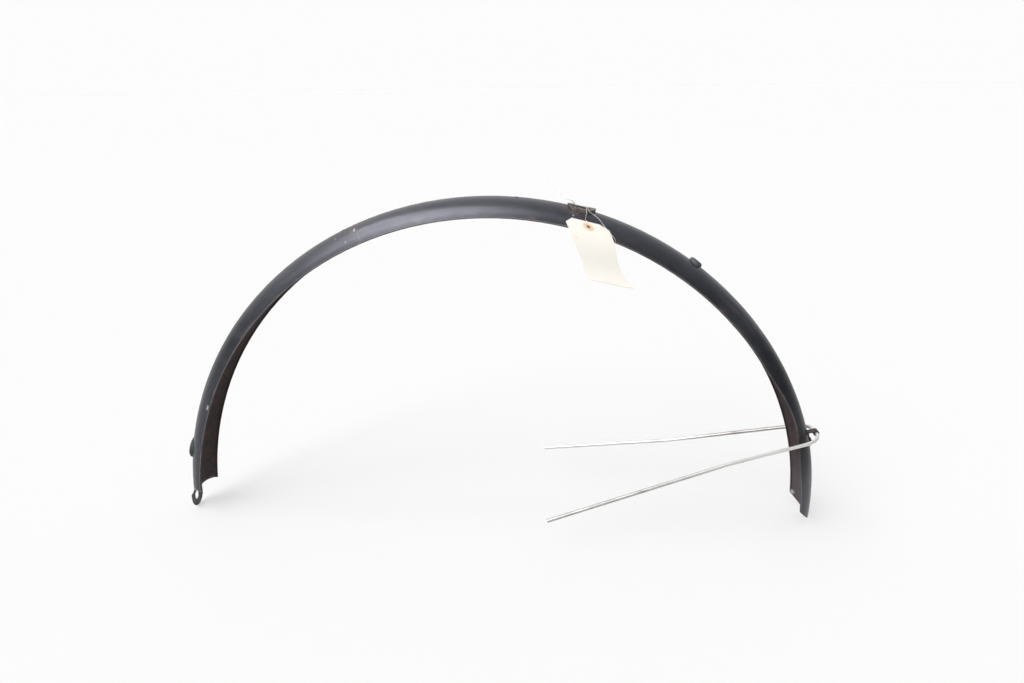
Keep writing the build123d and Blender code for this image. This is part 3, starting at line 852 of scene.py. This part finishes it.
def add_camera(stage):
    """Adds the camera and gives it to the scene."""
    bpy.ops.object.camera_add(location=stage.camera_place, rotation=stage.camera_turn)
    camera = bpy.context.object
    camera.name = "camera"
    camera.data.lens = stage.lens
    camera.data.sensor_width = SENSOR_WIDTH
    camera.data.clip_start = CAMERA_NEAREST
    camera.data.clip_end = CAMERA_FARTHEST
    bpy.context.scene.camera = camera


# Operators

class MUDGUARD_OT_blade(Operator):
    """Paint and rust the blade"""
    bl_idname = "mudguard.blade"
    bl_label = "Finish blade"

    def execute(self, context):
        wear("guard_blade", blade_finish(context.scene.mudguard_paint))
        return {"FINISHED"}


class MUDGUARD_OT_fittings(Operator):
    """Finish the collar, plugs, clip, rivet and stay"""
    bl_idname = "mudguard.fittings"
    bl_label = "Finish fittings"

    def execute(self, context):
        fit = context.scene.mudguard_fittings
        paint = context.scene.mudguard_paint
        wear("rubber_plug", rubber_finish("plug_rubber", fit, PLUG_ANGLE, PLUG_RADIUS, 0.5))
        wear("blanking_plug", rubber_finish("button_rubber", fit, BUTTON_ANGLE, BUTTON_RADIUS, 1.3))
        collar_rust = on_crown(COLLAR_ANGLE + COLLAR_RUST_SHIFT)
        wear("lamp_collar", worn_black("collar_paint", fit.collar, paint, collar_rust, 0.16, 0.48))
        clip_top = on_crown(CLIP_ANGLE, CROWN_RADIUS + CLIP_HEIGHT)
        clip = worn_black("clip_paint", fit.clip, paint, clip_top, 0.05, 0.60)
        wear("stay_clip", clip)
        wear("clip_rivet", clip)
        wear("wire_stay", stay_finish(fit, paint))
        return {"FINISHED"}


class MUDGUARD_OT_tag(Operator):
    """Finish the card tag, its rings and the tie wire"""
    bl_idname = "mudguard.tag"
    bl_label = "Finish tag"

    def execute(self, context):
        tag = context.scene.mudguard_tag
        wear("tag_card", card_finish(tag))
        wear("tag_rings", ring_finish(tag))
        wear("tie_wire", tie_finish(tag, context.scene.mudguard_fittings))
        return {"FINISHED"}


class MUDGUARD_OT_stage(Operator):
    """Add the floor, the backdrop, the lights and the camera"""
    bl_idname = "mudguard.stage"
    bl_label = "Set stage"

    def execute(self, context):
        stage = context.scene.mudguard_stage
        add_floor(stage)
        add_backdrop(stage)
        context.scene.world = studio_light(stage)
        add_lamp("key_light", stage.key, stage.key_way, stage.lamp_spread)
        add_lamp("side_light", stage.side, stage.side_way, stage.lamp_spread)
        add_camera(stage)
        context.scene.view_settings.view_transform = "Standard"
        return {"FINISHED"}


class MUDGUARD_PT_panel(Panel):
    """Lists the finishing steps"""
    bl_idname = "MUDGUARD_PT_panel"
    bl_label = "Mudguard"
    bl_space_type = "VIEW_3D"
    bl_region_type = "UI"
    bl_category = "Mudguard"

    def draw(self, context):
        for step in STEPS:
            self.layout.operator(step.bl_idname)


STEPS = (MUDGUARD_OT_blade, MUDGUARD_OT_fittings, MUDGUARD_OT_tag, MUDGUARD_OT_stage)
GROUPS = (PaintSettings, FittingSettings, TagSettings, StageSettings)


def register():
    """Adds the settings, the operators and the panel."""
    for group in GROUPS:
        bpy.utils.register_class(group)
    for step in STEPS:
        bpy.utils.register_class(step)
    bpy.utils.register_class(MUDGUARD_PT_panel)
    bpy.types.Scene.mudguard_paint = PointerProperty(type=PaintSettings)
    bpy.types.Scene.mudguard_fittings = PointerProperty(type=FittingSettings)
    bpy.types.Scene.mudguard_tag = PointerProperty(type=TagSettings)
    bpy.types.Scene.mudguard_stage = PointerProperty(type=StageSettings)


def unregister():
    """Removes what register added."""
    del bpy.types.Scene.mudguard_stage
    del bpy.types.Scene.mudguard_tag
    del bpy.types.Scene.mudguard_fittings
    del bpy.types.Scene.mudguard_paint
    bpy.utils.unregister_class(MUDGUARD_PT_panel)
    for step in reversed(STEPS):
        bpy.utils.unregister_class(step)
    for group in reversed(GROUPS):
        bpy.utils.unregister_class(group)


def main():
    """Runs every step in order."""
    register()
    bpy.ops.mudguard.blade()
    bpy.ops.mudguard.fittings()
    bpy.ops.mudguard.tag()
    bpy.ops.mudguard.stage()


if __name__ == "__main__":
    main()
